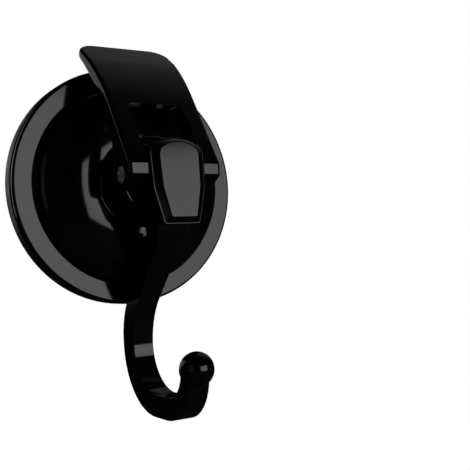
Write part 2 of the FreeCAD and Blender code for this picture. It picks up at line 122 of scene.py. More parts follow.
# Hook. Ups and downs are measured from the pin, fronts and backs from the wall.
NECK_DOWN = 13.0
WAIST_DOWN = 17.0
SHANK_DOWN = 40.0
SHANK_FRONT, SHANK_BACK = 9.45, 3.2
NECK_TOP_UP = -9.75
NECK_FRONT = 29.2
UNDER_HEAD_MARGIN = 0.75
NECK_STARTS_OUT = 0.2
INNER_BEND, OUTER_BEND = 11.1, 16.3
HEAD_STOCK = 16.0
HEAD_LEAN = 4.0
HEAD_TOE_ROUND = 0.8
HEAD_LIP = 0.3
HEAD_RIM_REACH = 3.0
HEAD_EDGE_ROUND = 0.22
FACE_WIDTH_SHARE, FACE_HEIGHT_SHARE = 0.756, 0.898
FACE_CENTRE_UP = -0.124
BALL_CENTRE = (0.0, -36.1, -44.0)
BALL_ROWS = 32
WELL_HALF_WIDTH, WELL_HALF_HEIGHT = 3.65, 4.25
SLOT_HALF_WIDTH = 2.12
SLOT_END_ROUND = 2.05
SLOT_REACH = 20.0

# Finishes. Noise hardly ever leaves its low and high value.
NOISE_LOW, NOISE_HIGH = 0.3, 0.7
DARK_BELOW, LIGHT_ABOVE = 0.35, 0.65

# Stage, in metres and degrees, but the sensor in millimetres.
LAMPS_AIM = (0.0, -0.015, -0.01)
LAMPS = {
    "front_lamp": {"place": (0.17, -0.484, 0.022), "width": 0.4, "height": 0.25, "fade": 110.0},
    "side_lamp": {"place": (-0.5, -0.25, 0.0), "width": 0.3, "height": 0.6, "fade": 90.0},
    "back_lamp": {"place": (-0.25, 0.385, 0.185), "width": 0.3, "height": 0.28, "fade": 120.0},
    "top_lamp": {"place": (0.32, 0.25, 0.45), "width": 0.8, "height": 1.0, "fade": 84.0},
}
BACKDROP_STARTS, BACKDROP_FULL = 0.9, 1.0
FLOOR_SIZE = 3.0
FLOOR_GREY = 0.1
CAMERA_PLACE = (-0.08505, -0.1916, -0.02094)
CAMERA_YAW, CAMERA_PITCH, CAMERA_ROLL = -31.95, 1.94, -3.3
SENSOR_WIDTH = 36.0


def length(name, millimetres, description):
    """A length property, stored in metres."""
    return FloatProperty(name=name, description=description, default=millimetres * MM,
                         unit="LENGTH", precision=5)


class HousingSizes(bpy.types.PropertyGroup):
    """The bell-shaped housing and the soft cup under it."""

    cup_radius: length("Cup Radius", 30.0, "Outer radius of the soft cup")
    cup_edge: length("Cup Edge", 4.15, "Height of the cup's edge over the wall")
    flange_radius: length("Flange Radius", 29.8, "Outer radius of the housing's flange")
    flange_foot: length("Flange Foot", 4.2, "Height of the flange's underside over the wall")
    flange_top: length("Flange Top", 5.7, "Height of the flange's face over the wall")
    dome_foot: length("Dome Foot", 25.0, "Radius where the dome rises from the flange")
    dome_edge: length("Dome Edge", 24.1, "Radius of the dome's shoulder")
    dome_edge_top: length("Dome Edge Top", 8.4, "Height of the dome's shoulder over the wall")
    dome_curve: length("Dome Curve", 25.0, "Radius of the arc from the shoulder up to the boss")
    boss_radius: length("Boss Radius", 10.4, "Radius of the boss that the cams press on")
    boss_foot: length("Boss Foot", 12.6, "Height of the boss's foot over the wall")
    boss_top: length("Boss Top", BOSS_TOP, "Height of the boss's face over the wall")
    shell: length("Shell", 2.0, "Wall thickness of the housing")


class LeverSizes(bpy.types.PropertyGroup):
    """The cam lever and its pin."""

    pin_height: length("Pin Height", 27.2, "Height of the pin's axis over the wall")
    pin_radius: length("Pin Radius", 2.0, "Radius of the pin")
    cam_radius: length("Cam Radius", 4.7, "Distance from the pin to the cam when the lever is shut")
    cam_lift: length("Cam Lift", 1.73, "How far the stud drops as the lever opens")
    arm_half: length("Arm Half", 11.65, "Half of the width over both arms")
    fork_half: length("Fork Half", 7.15, "Half of the gap between the arms")
    fork_end: length("Fork End", 17.5, "Height of the gap's end over the pin")
    tab_half: length("Tab Half", 12.2, "Half of the tab's greatest width")
    tab_corner: length("Tab Corner", 4.6, "Radius of the tab's two corners")
    tip_up: length("Tip Up", 35.7, "Height of the tab's tip over the pin")
    edge_round: length("Edge Round", 0.9, "Round along the lever's outer edges")
    fork_round: length("Fork Round", 0.6, "Round along the gap's edges")


class HookSizes(bpy.types.PropertyGroup):
    """The hook with its head."""

    head_half: length("Head Half", 6.85, "Half of the head's width")
    head_face: length("Head Face", 32.85, "Height of the head's rim over the wall, level with the pin")
    bevel_height: length("Bevel Height", 1.2, "How far the head's face stands out from its rim")
    neck_half: length("Neck Half", 4.3, "Half of the neck's width under the head")
    waist_half: length("Waist Half", 3.1, "Half of the neck's width at its narrowest place")
    stem_half: length("Stem Half", 2.6, "Half of the shank's width")
    stem_round: length("Stem Round", 0.8, "Round along the edges of neck, shank and bend")
    ball_radius: length("Ball Radius", 3.96, "Radius of the ball on the tip")


class StageSizes(bpy.types.PropertyGroup):
    """Floor, lamps and camera."""

    floor_drop: length("Floor Drop", 130.0, "Height of the mount's middle over the floor")
    front_lamp: FloatProperty(name="Front Lamp", description="Power of the wide soft lamp at front right",
                              default=0.235, unit="POWER")
    side_lamp: FloatProperty(name="Side Lamp", description="Power of the faint soft lamp at the left",
                             default=0.018, unit="POWER")
    top_lamp: FloatProperty(name="Top Lamp", description="Power of the soft lamp above and behind",
                            default=0.078, unit="POWER")
    back_lamp: FloatProperty(name="Back Lamp", description="Power of the faint lamp behind at the left",
                             default=0.042, unit="POWER")
    focal_length: FloatProperty(name="Focal Length", description="Lens of the camera in millimetres",
                                default=61.28)


class FinishColours(bpy.types.PropertyGroup):
    """Colours of the finishes."""

    gloss_black: FloatVectorProperty(name="Gloss Black", description="Plastic of housing, lever and hook",
                                     subtype="COLOR", size=4, default=(0.004, 0.004, 0.0045, 1.0))
    rubber_black: FloatVectorProperty(name="Rubber Black", description="Soft cup",
                                      subtype="COLOR", size=4, default=(0.02, 0.02, 0.021, 1.0))
    pin_grey: FloatVectorProperty(name="Pin Grey", description="Ends of the pivot pin",
                                  subtype="COLOR", size=4, default=(0.62, 0.62, 0.63, 1.0))


def in_millimetres(group):
    """The lengths of a property group in millimetres, by name."""
    names = set(group.bl_rna.properties.keys()) - {"name", "rna_type"}
    return SimpleNamespace(**{name: getattr(group, name) / MM for name in names})


def arc(start, end, radius, side, count=0):
    """The points of the short arc from start to end, both included, its centre on one side of the way."""
    start, end = Vector(start), Vector(end)
    chord = end - start
    reach = math.sqrt(max(radius**2 - (chord.length / 2) ** 2, 0.0))
    turn = 1 if side == "left" else -1
    centre = (start + end) / 2 + Vector((-chord.y, chord.x)).normalized() * turn * reach
    angle = 2 * math.asin(min(chord.length / 2 / radius, 1.0)) * turn
    count = count or max(2, math.ceil(abs(angle) / ARC_STEP))
    spoke = start - centre
    points = []
    for number in range(count + 1):
        swing = angle * number / count
        turned = (spoke.x * math.cos(swing) - spoke.y * math.sin(swing),
                  spoke.x * math.sin(swing) + spoke.y * math.cos(swing))
        points.append((centre.x + turned[0], centre.y + turned[1]))
    return points


def walk(path, start, direction, reach):
    """Goes along a path from one of its points by a distance: the place reached, the last point passed."""
    place, index, left = Vector(path[start]), start, reach
    while True:
        step = Vector(path[index + direction]) - place
        if step.length > left:
            return place + step.normalized() * left, index
        left -= step.length
        index += direction
        place = Vector(path[index])


def soften(path, corner, reach, steps=4):
    """Rounds the corner of a path that lies nearest to a place, over a reach on both its sides."""
    index = min(range(len(path)), key=lambda i: (Vector(path[i]) - Vector(corner)).length)
    back, first = walk(path, index, -1, reach)
    on, last = walk(path, index, 1, reach)
    middle = Vector(path[index])
    bend = []
    for number in range(steps + 1):
        t = number / steps
        bend.append(tuple(back * (1 - t) ** 2 + middle * 2 * t * (1 - t) + on * t**2))
    return path[:first] + bend + path[last + 1:]


def sagitta_radius(run, rise):
    """The radius of an arc that leaves along a line and ends run along it and rise away from it."""
    return (run * run + rise * rise) / (rise * 2)


def on_lathe(point):
    """A (radius, height) point as a place in space, in metres."""
    return Vector((point[0], -point[1], 0.0)) * MM


def on_side(point, x=0.0):
    """An (up, height) point as a place in space, in metres."""
    return Vector((x, -point[1], point[0])) * MM


def on_front(point, height=0.0):
    """An (x, up) point as a place in space, in metres."""
    return Vector((point[0], -height, point[1])) * MM


def close_edit():
    """Goes back to object mode, with nothing selected."""
    if bpy.context.object and bpy.context.object.mode == "EDIT":
        bpy.ops.object.mode_set(mode="OBJECT")
    bpy.ops.object.select_all(action="DESELECT")


def begin(name):
    """Adds a small plane, opens it for editing and pulls it together to one vertex at the origin."""
    close_edit()
    bpy.ops.mesh.primitive_plane_add(size=MM)
    bpy.context.object.name = name
    bpy.context.object.data.name = name
    bpy.ops.object.mode_set(mode="EDIT")
    bpy.ops.mesh.select_mode(type="VERT")
    bpy.ops.mesh.select_all(action="SELECT")
    bpy.ops.mesh.merge(type="CENTER")
    return bpy.context.object


def pick(kind, rule):
    """Selects the vertices, edges or faces of the edited mesh that obey a rule, and counts them."""
    bpy.ops.mesh.select_mode(type=kind)
    mesh = bmesh.from_edit_mesh(bpy.context.object.data)
    items = {"VERT": mesh.verts, "EDGE": mesh.edges, "FACE": mesh.faces}[kind]
    chosen = [item for item in items if rule(item)]
    for face in mesh.faces:
        face.select_set(False)
    for edge in mesh.edges:
        edge.select_set(False)
    for vertex in mesh.verts:
        vertex.select_set(False)
    for item in chosen:
        item.select_set(True)
    mesh.select_flush_mode()
    bmesh.update_edit_mesh(bpy.context.object.data)
    return len(chosen)


def need(kind, rule, what):
    """Selects as pick does, and stops the script where nothing obeys the rule."""
    if not pick(kind, rule):
        raise RuntimeError(f"nothing found for {what}")


def near(vertex, place):
    """Whether a vertex lies at a place."""
    return (vertex.co - place).length < TINY * MM


def draw(name, places):
    """Draws a closed outline by pulling one vertex from place to place, and fills it with a face."""
    piece = begin(name)
    bpy.ops.transform.translate(value=places[0])
    for here, there in zip(places, places[1:]):
        bpy.ops.mesh.extrude_vertices_move(TRANSFORM_OT_translate={"value": there - here})
    need("VERT", lambda v: near(v, places[0]) or near(v, places[-1]), f"the ends of {name}")
    bpy.ops.mesh.edge_face_add()
    bpy.ops.mesh.select_all(action="SELECT")
    bpy.ops.mesh.edge_face_add()
    return piece


def turn_on_lathe(name, places, axis):
    """Draws an outline and spins it round an axis through the origin."""
    piece = begin(name)
    bpy.ops.transform.translate(value=places[0])
    for here, there in zip(places, places[1:]):
        bpy.ops.mesh.extrude_vertices_move(TRANSFORM_OT_translate={"value": there - here})
    bpy.ops.mesh.select_all(action="SELECT")
    bpy.ops.mesh.spin(steps=TURN_STEPS, angle=math.tau, center=(0.0, 0.0, 0.0), axis=axis)
    bpy.ops.mesh.select_all(action="SELECT")
    bpy.ops.mesh.remove_doubles(threshold=MERGE_DISTANCE * MM)
    bpy.ops.mesh.normals_make_consistent(inside=False)
    return piece


def pull(vector):
    """Extrudes what is selected, in millimetres."""
    bpy.ops.mesh.extrude_region_move(TRANSFORM_OT_translate={"value": Vector(vector) * MM})


def shift(vector):
    """Moves what is selected, in millimetres."""
    bpy.ops.transform.translate(value=Vector(vector) * MM)


def bevel(rule, width, segments, what):
    """Rounds the edges that obey a rule."""
    need("EDGE", rule, what)
    bpy.ops.mesh.bevel(offset=width * MM, offset_type="OFFSET", segments=segments, affect="EDGES",
                       clamp_overlap=True)


def is_sharp(edge, degrees=28.0):
    """Whether the two faces at an edge turn by more than an angle."""
    return len(edge.link_faces) == 2 and edge.calc_face_angle(0.0) > math.radians(degrees)


def is_crosswise(edge):
    """Whether an edge runs from side to side of the object."""
    return abs(edge.verts[0].co.x - edge.verts[1].co.x) > MM


def is_lengthwise(edge):
    """Whether both ends of an edge lie equally far out to the side."""
    return abs(edge.verts[0].co.x - edge.verts[1].co.x) < TINY * MM


def combine(piece, tool, operation):
    """Cuts a tool out of a piece or joins it on, and throws the tool away."""
    close_edit()
    bpy.context.view_layer.objects.active = piece
    piece.select_set(True)
    bpy.ops.object.modifier_add(type="BOOLEAN")
    modifier = piece.modifiers[-1]
    modifier.operation = operation
    modifier.solver = "EXACT"
    modifier.object = tool
    bpy.ops.object.modifier_apply(modifier=modifier.name)
    piece.select_set(False)
    tool.select_set(True)
    bpy.ops.object.delete()
    bpy.context.view_layer.objects.active = piece
    piece.select_set(True)


def block(name, low, high):
    """A box between two corners given in millimetres as (x, height, up), to cut with."""
    low, high = Vector((low[0], -high[1], low[2])), Vector((high[0], -low[1], high[2]))
    close_edit()
    bpy.ops.mesh.primitive_cube_add(size=1.0, location=(low + high) / 2 * MM, scale=(high - low) * MM)
    bpy.context.object.name = name
    bpy.ops.object.transform_apply()
    return bpy.context.object


def polish(piece, body, material, replaced, angle=32.0):
    """Shades a finished piece, gives it its material, ties it to its body and hides the node it replaces.
    """
    close_edit()
    bpy.context.view_layer.objects.active = piece
    piece.select_set(True)
    bpy.ops.object.shade_smooth_by_angle(angle=math.radians(angle))
    bpy.ops.object.modifier_add(type="WEIGHTED_NORMAL")
    piece.modifiers[-1].keep_sharp = True
    bpy.ops.object.modifier_apply(modifier=piece.modifiers[-1].name)
    dress(piece, material)
    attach(piece, body)
    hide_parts(replaced)


def new_material(name):
    """An empty material with an output and a principled shader."""
    material = bpy.data.materials.new(name)
    material.use_nodes = True
    tree = material.node_tree
    return material, tree, tree.nodes["Principled BSDF"]


def noise(tree, scale, detail=4.0):
    """A noise texture in object coordinates."""
    coordinates = tree.nodes.new("ShaderNodeTexCoord")
    texture = tree.nodes.new("ShaderNodeTexNoise")
    texture.inputs["Scale"].default_value = scale
    texture.inputs["Detail"].default_value = detail
    tree.links.new(coordinates.outputs["Object"], texture.inputs["Vector"])
    return texture


def spread(tree, value, low, high):
    """A texture's value spread between two limits."""
    node = tree.nodes.new("ShaderNodeMapRange")
    node.inputs["From Min"].default_value = NOISE_LOW
    node.inputs["From Max"].default_value = NOISE_HIGH
    node.inputs["To Min"].default_value = low
    node.inputs["To Max"].default_value = high
    tree.links.new(value, node.inputs["Value"])
    return node.outputs["Result"]


def shaded(tree, value, colour, share):
    """A colour that grows lighter by a share where the value is high."""
    ramp = tree.nodes.new("ShaderNodeValToRGB")
    ramp.color_ramp.elements[0].position = DARK_BELOW
    ramp.color_ramp.elements[1].position = LIGHT_ABOVE
    ramp.color_ramp.elements[0].color = colour
    ramp.color_ramp.elements[1].color = [c * (1 + share) for c in colour[:3]] + [1.0]
    tree.links.new(value, ramp.inputs["Fac"])
    return ramp.outputs["Color"]


def bumped(tree, shader, value, strength, distance):
    """A bump on the shader's normal."""
    bump = tree.nodes.new("ShaderNodeBump")
    bump.inputs["Strength"].default_value = strength
    bump.inputs["Distance"].default_value = distance
    tree.links.new(value, bump.inputs["Height"])
    tree.links.new(bump.outputs["Normal"], shader.inputs["Normal"])


def gloss_plastic(name, colour, roughness):
    """Moulded gloss plastic: a very faint orange peel and a slightly uneven polish."""
    material, tree, shader = new_material(name)
    mottle = noise(tree, scale=90.0)
    tree.links.new(shaded(tree, mottle.outputs["Fac"], colour, share=0.6), shader.inputs["Base Color"])
    dullness = spread(tree, mottle.outputs["Fac"], low=roughness * 0.8, high=roughness * 1.25)
    tree.links.new(dullness, shader.inputs["Roughness"])
    peel = noise(tree, scale=700.0, detail=2.0)
    bumped(tree, shader, peel.outputs["Fac"], strength=0.08, distance=0.00002)
    return material


def soft_rubber(name, colour):
    """Moulded soft plastic: dull, with a fine grain."""
    material, tree, shader = new_material(name)
    mottle = noise(tree, scale=160.0)
    tree.links.new(shaded(tree, mottle.outputs["Fac"], colour, share=0.5), shader.inputs["Base Color"])
    tree.links.new(spread(tree, mottle.outputs["Fac"], low=0.36, high=0.5), shader.inputs["Roughness"])
    grain = noise(tree, scale=2600.0, detail=3.0)
    bumped(tree, shader, grain.outputs["Fac"], strength=0.25, distance=0.00004)
    return material


def ground_steel(name, colour):
    """The pin's steel, with a coarse cut end."""
    material, tree, shader = new_material(name)
    shader.inputs["Metallic"].default_value = 1.0
    grit = noise(tree, scale=1500.0)
    tree.links.new(shaded(tree, grit.outputs["Fac"], colour, share=1.2), shader.inputs["Base Color"])
    tree.links.new(spread(tree, grit.outputs["Fac"], low=0.35, high=0.6), shader.inputs["Roughness"])
    bumped(tree, shader, grit.outputs["Fac"], strength=1.0, distance=0.0006)
    return material


def dress(piece, material):
    """Gives a piece one material."""
    piece.data.materials.clear()
    piece.data.materials.append(material)


def aim(lamp, place, target):
    """Puts a lamp in place and points it at a target."""
    lamp.location = place
    lamp.rotation_euler = (Vector(target) - Vector(place)).to_track_quat("-Z", "Y").to_euler()


def soft_lamp(name, power, place, width, height, fade):
    """A rectangular soft lamp whose light fades towards its edges."""
    data = bpy.data.lights.new(name, "AREA")
    data.shape = "RECTANGLE"
    data.size = width
    data.size_y = height
    data.energy = power
    data.spread = math.radians(fade)
    lamp = bpy.data.objects.new(name, data)
    bpy.context.scene.collection.objects.link(lamp)
    aim(lamp, place, LAMPS_AIM)


# The finishes by name, filled by the first operator.
FINISHES = {}


class HOOK_OT_finishes(bpy.types.Operator):
    """Makes the finishes and gives the stud, which keeps its solid, its own"""

    bl_idname = "hook.finishes"
    bl_label = "Finishes"

    def execute(self, context):
        colours = context.scene.hook_colours
        FINISHES["gloss"] = gloss_plastic("gloss_plastic", list(colours.gloss_black), roughness=0.09)
        FINISHES["rubber"] = soft_rubber("soft_rubber", list(colours.rubber_black))
        FINISHES["steel"] = ground_steel("ground_steel", list(colours.pin_grey))
        dress(NODES["cup_stud"], FINISHES["gloss"])
        return {"FINISHED"}


class HOOK_OT_cup(bpy.types.Operator):
    """Makes the soft cup: a sealing ring, a shallow hollow behind it and a hub round the stud"""

    bl_idname = "hook.cup"
    bl_label = "Soft Cup"

    def execute(self, context):
        z = in_millimetres(context.scene.hook_housing)
        ring = z.cup_radius - SEAL_WIDTH
        curve = sagitta_radius(ring, CUP_HOLLOW)
        hollow = arc((0.0, CUP_HOLLOW), (ring, 0.0), curve, "right", HOLLOW_STEPS)
        path = hollow + [
            (z.cup_radius, 0.0), (z.cup_radius, z.cup_edge),
            (z.dome_foot - z.shell - CUP_CLEARANCE, z.cup_edge),
            (HUB_RADIUS, HUB_TOP - HUB_STEP), (HUB_RADIUS, HUB_TOP), (HUB_BORE, HUB_TOP),
            (HUB_BORE, SEAT_TOP), (SEAT_RADIUS, SEAT_TOP), (SEAT_RADIUS, SEAT_FLOOR), (0.0, SEAT_FLOOR),
        ]
        path = soften(path, (ring, 0.0), SEAL_ROUND)
        path = soften(path, (z.cup_radius, 0.0), CUP_RIM_ROUND, 5)
        path = soften(path, (z.cup_radius, z.cup_edge), SEAL_ROUND)
        cup = turn_on_lathe("cup", [on_lathe(point) for point in path], (0.0, 1.0, 0.0))
        polish(cup, "base", FINISHES["rubber"], "suction_cup")
        return {"FINISHED"}


class HOOK_OT_housing(bpy.types.Operator):
    """Makes the bell-shaped housing: flange, dome and boss, with the stud's guide hole"""

    bl_idname = "hook.housing"
    bl_label = "Housing"

    def execute(self, context):
        z = in_millimetres(context.scene.hook_housing)
        inner_boss = z.boss_radius - z.shell
        inner_edge = z.dome_edge - z.shell
        plate = z.boss_top - BOSS_PLATE
        edge, foot = (z.dome_edge, z.dome_edge_top), (z.boss_radius, z.boss_foot)
        path = [(0.0, plate), (inner_boss, plate)]
        path += arc((inner_boss, z.boss_foot - z.shell), (inner_edge, z.dome_edge_top - z.shell),
                    z.dome_curve - z.shell, "right")
        path += [(z.dome_foot - z.shell, z.flange_foot), (z.flange_radius, z.flange_foot),
                 (z.flange_radius, z.flange_top), (z.dome_foot, z.flange_top)]
        path += arc(edge, foot, z.dome_curve, "left", DOME_STEPS)
        path += [(z.boss_radius, z.boss_top), (0.0, z.boss_top)]
        path = soften(path, (z.flange_radius, z.flange_foot), FLANGE_FOOT_ROUND, 2)
        path = soften(path, (z.flange_radius, z.flange_top), FLANGE_EDGE_ROUND, 6)
        path = soften(path, (z.dome_foot, z.flange_top), DOME_FOOT_ROUND, 3)
        path = soften(path, edge, DOME_EDGE_ROUND, 8)
        path = soften(path, foot, BOSS_FOOT_ROUND, 5)
        path = soften(path, (z.boss_radius, z.boss_top), BOSS_EDGE_ROUND, 8)
        housing = turn_on_lathe("bell", [on_lathe(point) for point in path], (0.0, 1.0, 0.0))
        guide = block("guide", (-GUIDE_HALF_WIDTH, plate - CUT_PAST, -GUIDE_HALF_HEIGHT),
                      (GUIDE_HALF_WIDTH, z.boss_top + CUT_PAST, GUIDE_HALF_HEIGHT))
        combine(housing, guide, "DIFFERENCE")
        polish(housing, "base", FINISHES["gloss"], "housing")
        return {"FINISHED"}


class HOOK_OT_pin(bpy.types.Operator):
    """Makes the steel pin that the lever turns on"""

    bl_idname = "hook.pin"
    bl_label = "Pivot Pin"

    def execute(self, context):
        z = in_millimetres(context.scene.hook_lever)
        half, radius = z.arm_half + PIN_STANDS_OUT, z.pin_radius
        path = [(-half, 0.0), (-half, radius), (half, radius), (half, 0.0)]
        path = soften(path, (-half, radius), PIN_END_ROUND)
        path = soften(path, (half, radius), PIN_END_ROUND)
        places = [Vector((x, -out, 0.0)) * MM for x, out in path]
        pin = turn_on_lathe("pin", places, (1.0, 0.0, 0.0))
        bpy.ops.mesh.select_all(action="SELECT")
        shift((0.0, -z.pin_height, 0.0))
        polish(pin, "stud", FINISHES["steel"], "pivot_pin")
        return {"FINISHED"}


def cam_corner(z, share):
    """A corner of the cam, whose distance from the pin falls evenly as the lever turns."""
    swing = math.radians(LEVER_SWING) * share
    slope = z.cam_lift / math.radians(LEVER_SWING)
    reach = z.cam_radius - z.cam_lift * share
    up = math.cos(swing) * slope - math.sin(swing) * reach
    out = -math.sin(swing) * slope - math.cos(swing) * reach
    return up, z.pin_height + out


def level_with(vertex, place):
    """Whether a vertex lies at a place, seen from the side."""
    return abs(vertex.co.y - place.y) < TINY * MM and abs(vertex.co.z - place.z) < TINY * MM


def sweep(stations, what):
    """Pulls the selected end face on through stations, each a front and a back place."""
    for before, after in zip(stations, stations[1:]):
        front = on_side(after[0]) - on_side(before[0])
        back = on_side(after[1]) - on_side(before[1])
        bpy.ops.mesh.extrude_region_move(TRANSFORM_OT_translate={"value": front})
        place = on_side(before[1]) + front
        need("VERT", lambda v: v.select and level_with(v, place), what)
        bpy.ops.transform.translate(value=back - front)
        ends = (on_side(after[0]), on_side(after[1]))
        need("FACE", lambda f: len(f.verts) == 4 and abs(f.normal.x) < 0.5
             and all(any(level_with(v, end) for end in ends) for v in f.verts), what)


class HOOK_OT_lever(bpy.types.Operator):
    """Makes the lever: two cam arms, a web between them and a thumb tab that curls back to the wall"""

    bl_idname = "hook.lever"
    bl_label = "Lever"

    def execute(self, context):
        z = in_millimetres(context.scene.hook_lever)
        lever = self.arm(z)
        self.tab(z)
        self.mirror(lever)
        self.rounds(z)
        bpy.ops.object.mode_set(mode="OBJECT")
        bpy.ops.object.select_all(action="DESELECT")
        bpy.ops.mesh.primitive_cylinder_add(
            vertices=BORE_STEPS, radius=(z.pin_radius + BORE_CLEARANCE) * MM, depth=BORE_LENGTH * MM,
            location=(0.0, -z.pin_height * MM, 0.0), rotation=(0.0, math.pi / 2, 0.0))
        bore = bpy.context.object
        bpy.ops.object.transform_apply()
        combine(lever, bore, "DIFFERENCE")
        polish(lever, "lever", FINISHES["gloss"], "lever")
        return {"FINISHED"}

    def landmarks(self, z):
        """The knuckle, the tab's foot on the same straight front, and front and back of the gap's end."""
        knuckle = (KNUCKLE_UP, z.pin_height + KNUCKLE_OUT)
        foot = (TAB_FOOT_UP, z.pin_height + TAB_FOOT_OUT)
        slope = (foot[1] - knuckle[1]) / (foot[0] - knuckle[0])
        front = (z.fork_end, knuckle[1] + (z.fork_end - knuckle[0]) * slope)
        back = (z.fork_end, z.pin_height + FORK_BACK_OUT)
        return SimpleNamespace(knuckle=knuckle, foot=foot, fork_front=front, fork_back=back)

    def arm(self, z):
        """One arm: a flat knuckle in front and a cam behind, whose corners step towards the pin."""
        marks = self.landmarks(z)
        knuckle = marks.knuckle
        last = cam_corner(z, 1.0)
        flat = -math.cos(math.radians(LEVER_SWING)) / math.sin(math.radians(LEVER_SWING))
        path = [marks.fork_front, knuckle, (last[0] + (knuckle[1] - last[1]) * flat, knuckle[1])]
        for step in range(CAM_STEPS, 0, -1):
            radius = z.cam_radius - z.cam_lift * (step - 0.5) / CAM_STEPS
            path += arc(cam_corner(z, step / CAM_STEPS), cam_corner(z, (step - 1) / CAM_STEPS), radius,
                        "left", CAM_STEP_POINTS)[:-1]
        path += [cam_corner(z, 0.0), (CAM_BACK_UP, z.pin_height - z.cam_radius), marks.fork_back]
        lever = draw("lever_arms_and_tab", [on_side(point, z.fork_half) for point in path])
        pull((z.arm_half - z.fork_half, 0.0, 0.0))
        bpy.ops.mesh.select_all(action="SELECT")
        bpy.ops.mesh.normals_make_consistent(inside=False)
        return lever

    def tab(self, z):
        """Half of the tab, pulled on from the arm's end and inwards to the middle, and widened."""
        marks = self.landmarks(z)
        foot_up = marks.foot[0]
        tip = (z.tip_up, z.pin_height + TIP_OUT)
        tip_back = (z.tip_up - TIP_BACK_DROP, z.pin_height + TIP_BACK_OUT)
        fronts = arc(tip, marks.foot, TAB_CURVE, "left", TAB_CURVE_POINTS)
        backs = arc(tip_back, marks.fork_back, TAB_CURVE, "left", TAB_CURVE_POINTS)
        corner = z.tip_up - z.tab_corner - TAB_CORNER_CLEARANCE
        ups = [foot_up + (corner - foot_up) * share for share in TAB_STRIPS] + [z.tip_up]
        stations = [(marks.fork_front, marks.fork_back)]
        for up in ups:
            front = min(fronts, key=lambda point: abs(point[0] - up))
            share = (up - z.fork_end) / (z.tip_up - z.fork_end)
            back_up = z.fork_end + (tip_back[0] - z.fork_end) * share
            back = min(backs, key=lambda point: abs(point[0] - back_up))
            if front != stations[-1][0]:
                stations.append((front, back))
        need("FACE", lambda f: all(abs(v.co.z - z.fork_end * MM) < TINY * MM for v in f.verts),
             "the arm's end")
        sweep(stations, "the tab's stations")

        need("FACE", lambda f: f.normal.x < -0.9 and f.calc_center_median().z > z.fork_end * MM,
             "the tab's inner side")
        pull((-z.fork_half, 0.0, 0.0))
        need("FACE", lambda f: f.normal.x < -0.9 and f.calc_center_median().x < TINY * MM,
             "the middle of the tab")
        bpy.ops.mesh.delete(type="FACE")
        for front, back in stations[2:]:
            wider = (z.tab_half - z.arm_half) * min((front[0] - foot_up) / (corner - foot_up), 1.0)
            edge = (on_side(front, z.arm_half), on_side(back, z.arm_half))
            need("VERT", lambda v: any(near(v, place) for place in edge), "the tab's outer edge")
            shift((wider, 0.0, 0.0))
            strip = (on_side(front, z.fork_half), on_side(back, z.fork_half))
            need("VERT", lambda v: any(near(v, place) for place in strip), "the tab's middle strip")
            shift((-MIDDLE_STRIP_SHIFT, 0.0, 0.0))

    def mirror(self, lever):
        """The other half."""
        bpy.ops.object.mode_set(mode="OBJECT")
        bpy.ops.object.modifier_add(type="MIRROR")
        lever.modifiers[-1].merge_threshold = MIRROR_MERGE_DISTANCE * MM
        bpy.ops.object.modifier_apply(modifier=lever.modifiers[-1].name)
        bpy.ops.object.mode_set(mode="EDIT")
        bpy.ops.mesh.select_all(action="SELECT")
        bpy.ops.mesh.remove_doubles(threshold=MERGE_DISTANCE * MM)
        bpy.ops.mesh.normals_make_consistent(inside=False)

    def rounds(self, z):
        """The round corners and edges of gap, tab and knuckles."""
        fork, fork_end = z.fork_half * MM, z.fork_end * MM
        bevel(lambda e: all(abs(abs(v.co.x) - fork) < TINY * MM and abs(v.co.z - fork_end) < TINY * MM
                            for v in e.verts), FORK_CORNER, 4, "the gap's corners")
        side = (z.tab_half - TAB_SIDE_SLACK) * MM
        tip = (z.tip_up - TIP_REACH) * MM
        bevel(lambda e: is_lengthwise(e) and all(abs(v.co.x) > side and v.co.z > tip for v in e.verts),
              z.tab_corner, 8, "the tab's corners")
        knuckles = KNUCKLE_REACH * MM
        bevel(lambda e: is_sharp(e) and is_crosswise(e) and all(v.co.z < knuckles for v in e.verts),
              KNUCKLE_ROUND, 4, "the knuckles' cross edges")
        outer = fork + TINY * MM
        bevel(lambda e: is_sharp(e) and all(abs(v.co.x) > outer or v.co.z > tip for v in e.verts),
              z.edge_round, 4, "the lever's outer edges")
        bevel(is_sharp, z.fork_round, 6, "the gap's edges")


def stem_half(z, up):
    """Half of the stem's width at a height: a hollow under the head, then a slow taper."""
    if up > -NECK_DOWN:
        return z.neck_half
    if up > -WAIST_DOWN:
        hollow = sagitta_radius(WAIST_DOWN - NECK_DOWN, z.neck_half - z.waist_half)
        return z.waist_half + hollow - math.sqrt(hollow**2 - (up + WAIST_DOWN) ** 2)
    share = min((-WAIST_DOWN - up) / (SHANK_DOWN - WAIST_DOWN), 1.0)
    return z.waist_half + (z.stem_half - z.waist_half) * share


def blended(first, last, shares):
    """Places on the line between two places."""
    return [tuple(Vector(first).lerp(Vector(last), share)) for share in shares]


